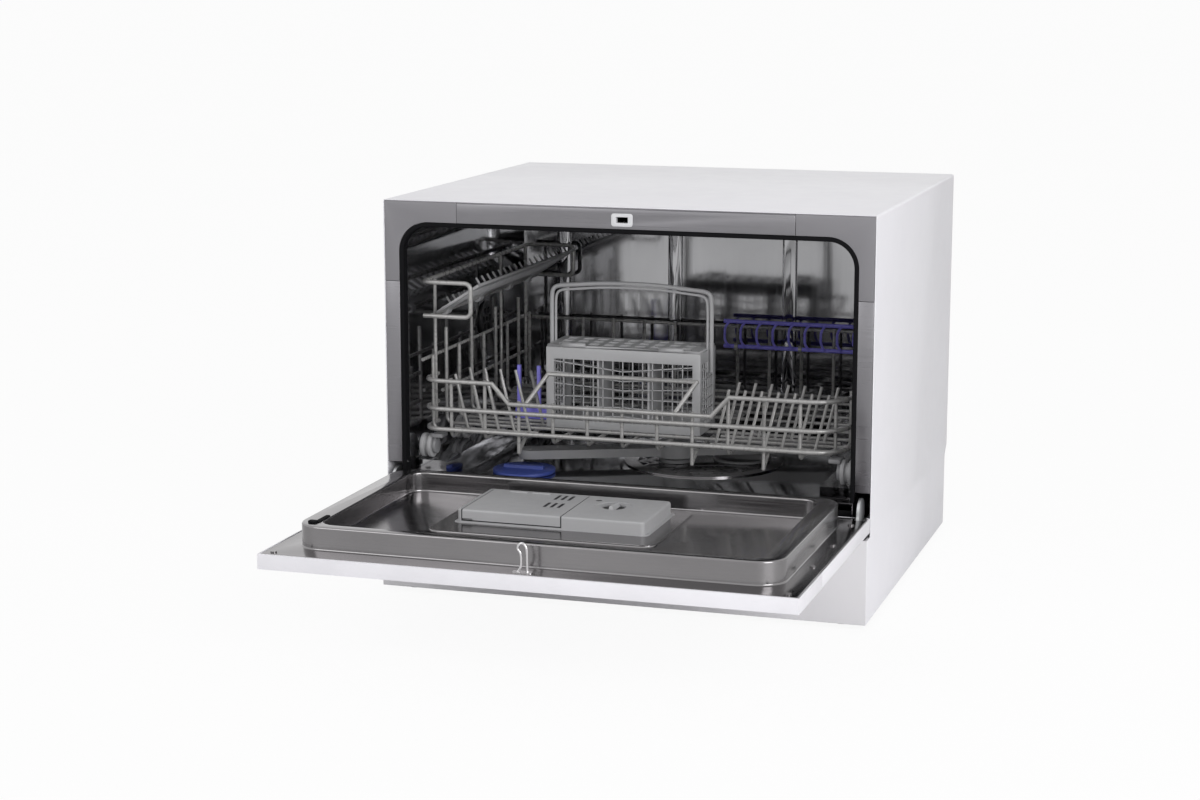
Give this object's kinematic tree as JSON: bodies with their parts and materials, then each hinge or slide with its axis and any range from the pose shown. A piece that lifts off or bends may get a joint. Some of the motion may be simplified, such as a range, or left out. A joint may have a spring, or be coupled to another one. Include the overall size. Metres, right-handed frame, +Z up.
{
  "type": "countertop dishwasher",
  "caption": "Freestanding countertop dishwasher with a drop-down door, stainless tub, roll-out wire rack, cutlery basket, folding cup shelf and detergent dispenser.",
  "frame": {"origin": "centre of the bottom of the box around the whole part with its door open, on the worktop", "axes": "+X to the right seen from the front, +Y towards the back, +Z up"},
  "size_m": [0.55, 0.816, 0.438],
  "materials": {
    "white_enamel": "smooth semi-gloss",
    "grey_enamel": "smooth semi-gloss",
    "zinc_sheet": "matt galvanised",
    "stainless": "brushed",
    "tub_steel": "bright pressed",
    "frame_grey": "satin",
    "white_plastic": "gloss",
    "socket_plastic": "matt",
    "grey_plastic": "matt",
    "light_grey_plastic": "matt",
    "dark_plastic": "matt",
    "violet_plastic": "matt",
    "blue_plastic": "matt",
    "ivory_plastic": "matt",
    "black_rubber": "matt",
    "window": "dark gloss",
    "board_green": "solder mask",
    "coated_wire": "nylon coated",
    "tray_plastic": "matt"
  },
  "bodies": {
    "cabinet": {"outer_cover": "white_enamel", "rear_panel": "zinc_sheet", "base_tray": "tray_plastic", "kick_panel": "grey_enamel", "rubber_feet": "black_rubber", "frame_corners": "frame_grey", "frame_top_strip": "stainless", "frame_side_strips": "stainless", "tub_wrapper": "tub_steel", "tub_back": "tub_steel", "tub_base": "tub_steel", "door_gasket": "black_rubber", "sill_seal": "black_rubber", "latch_socket": "socket_plastic", "latch_switch": "grey_plastic", "hinge_brackets": "zinc_sheet", "vent_grille": "dark_plastic", "air_break": "ivory_plastic", "sump": "tray_plastic", "filter_plate": "stainless", "spray_arm_hub": "grey_plastic", "wash_pump": "dark_plastic", "drain_pump": "dark_plastic", "inlet_valve": "socket_plastic", "drain_spigot": "grey_plastic", "mains_gland": "dark_plastic", "softener_tank": "ivory_plastic"},
    "filter_cup": {"filter_cup": "grey_plastic"},
    "spray_arm": {"spray_arm": "light_grey_plastic"},
    "salt_cap": {"salt_cap": "blue_plastic"},
    "door": {"door_skin": "white_enamel", "door_liner": "stainless", "control_panel": "white_plastic", "grip_cup": "grey_plastic", "display_window": "window", "control_board": "board_green", "latch_hook": "stainless", "hinge_arms": "zinc_sheet", "door_screws": "stainless", "liner_clip": "black_rubber", "dispenser_body": "grey_plastic"},
    "power_button": {"power_button": "light_grey_plastic"},
    "program_button": {"program_button": "light_grey_plastic"},
    "start_button": {"start_button": "light_grey_plastic"},
    "dispenser_lid": {"dispenser_lid": "light_grey_plastic"},
    "rinse_knob": {"rinse_knob": "grey_plastic"},
    "rack": {"rack_rails": "coated_wire", "rack_floor": "coated_wire", "rack_side_frame": "coated_wire", "rack_tines": "coated_wire", "wheel_brackets": "grey_plastic", "tine_clip": "violet_plastic"},
    "front_wheels": {"front_wheels": "light_grey_plastic"},
    "middle_wheels": {"middle_wheels": "light_grey_plastic"},
    "rear_wheels": {"rear_wheels": "light_grey_plastic"},
    "cup_shelf": {"cup_shelf": "grey_plastic"},
    "comb_support": {"comb_support": "violet_plastic"},
    "cutlery_basket": {"cutlery_basket": "light_grey_plastic", "basket_handle": "light_grey_plastic"},
    "basket_lid": {"basket_lid": "light_grey_plastic"}
  },
  "joints": [
    {"name": "door_hinge", "type": "hinge", "parent": "cabinet", "child": "door", "pos_m": [0, -0.083, 0.11], "axis": [-1, 0, 0], "range_deg": [0, 90]},
    {"name": "rack_slide", "type": "slide", "parent": "cabinet", "child": "rack", "axis": [0, 1, 0], "range_m": [-0.3, 0]},
    {"name": "front_wheel_roll", "type": "hinge", "parent": "rack", "child": "front_wheels", "pos_m": [0, -0.031, 0.1563], "axis": [1, 0, 0], "range_deg": [-2, 1280]},
    {"name": "middle_wheel_roll", "type": "hinge", "parent": "rack", "child": "middle_wheels", "pos_m": [0, 0.079, 0.1563], "axis": [1, 0, 0], "range_deg": [-2, 1280]},
    {"name": "rear_wheel_roll", "type": "hinge", "parent": "rack", "child": "rear_wheels", "pos_m": [0, 0.273, 0.1563], "axis": [1, 0, 0], "range_deg": [-2, 1280]},
    {"name": "cup_shelf_fold", "type": "hinge", "parent": "rack", "child": "cup_shelf", "pos_m": [-0.232, -0.072, 0.306], "axis": [0, -1, 0], "range_deg": [-33, 46]},
    {"name": "comb_fold", "type": "hinge", "parent": "rack", "child": "comb_support", "pos_m": [0, 0.308, 0.229], "axis": [1, 0, 0], "range_deg": [0, 90]},
    {"name": "basket_lift", "type": "slide", "parent": "rack", "child": "cutlery_basket", "axis": [0, 0, 1], "range_m": [0, 0.06]},
    {"name": "basket_lid_hinge", "type": "hinge", "parent": "cutlery_basket", "child": "basket_lid", "pos_m": [0, 0.019, 0.2703], "axis": [1, 0, 0], "range_deg": [0, 100]},
    {"name": "dispenser_lid_slide", "type": "slide", "parent": "door", "child": "dispenser_lid", "axis": [0, -1, 0], "range_m": [0, 0.052]},
    {"name": "rinse_knob_turn", "type": "hinge", "parent": "door", "child": "rinse_knob", "pos_m": [0.02475, -0.17958, 0.134], "axis": [0, 0, 1], "range_deg": [0, 90]},
    {"name": "spray_arm_spin", "type": "hinge", "parent": "cabinet", "child": "spray_arm", "pos_m": [0, 0.142, 0.128], "axis": [0, 0, 1], "continuous": true},
    {"name": "filter_cup_turn", "type": "hinge", "parent": "cabinet", "child": "filter_cup", "pos_m": [0.072, 0.176, 0.118], "axis": [0, 0, 1], "range_deg": [0, 90]},
    {"name": "salt_cap_turn", "type": "hinge", "parent": "cabinet", "child": "salt_cap", "pos_m": [-0.152, 0.04, 0.117], "axis": [0, 0, 1], "range_deg": [0, 90]},
    {"name": "power_press", "type": "slide", "parent": "door", "child": "power_button", "axis": [0, 0, 1], "range_m": [0, 0.0012], "stiffness_N_per_m": 300, "springref_m": -0.001},
    {"name": "program_press", "type": "slide", "parent": "door", "child": "program_button", "axis": [0, 0, 1], "range_m": [0, 0.0012], "stiffness_N_per_m": 300, "springref_m": -0.001},
    {"name": "start_press", "type": "slide", "parent": "door", "child": "start_button", "axis": [0, 0, 1], "range_m": [0, 0.0012], "stiffness_N_per_m": 300, "springref_m": -0.001}
  ],
  "couplings": [
    {"joint": "front_wheel_roll", "follows": "rack_slide", "rad_per_m": -74.074},
    {"joint": "middle_wheel_roll", "follows": "rack_slide", "rad_per_m": -74.074},
    {"joint": "rear_wheel_roll", "follows": "rack_slide", "rad_per_m": -74.074}
  ]
}
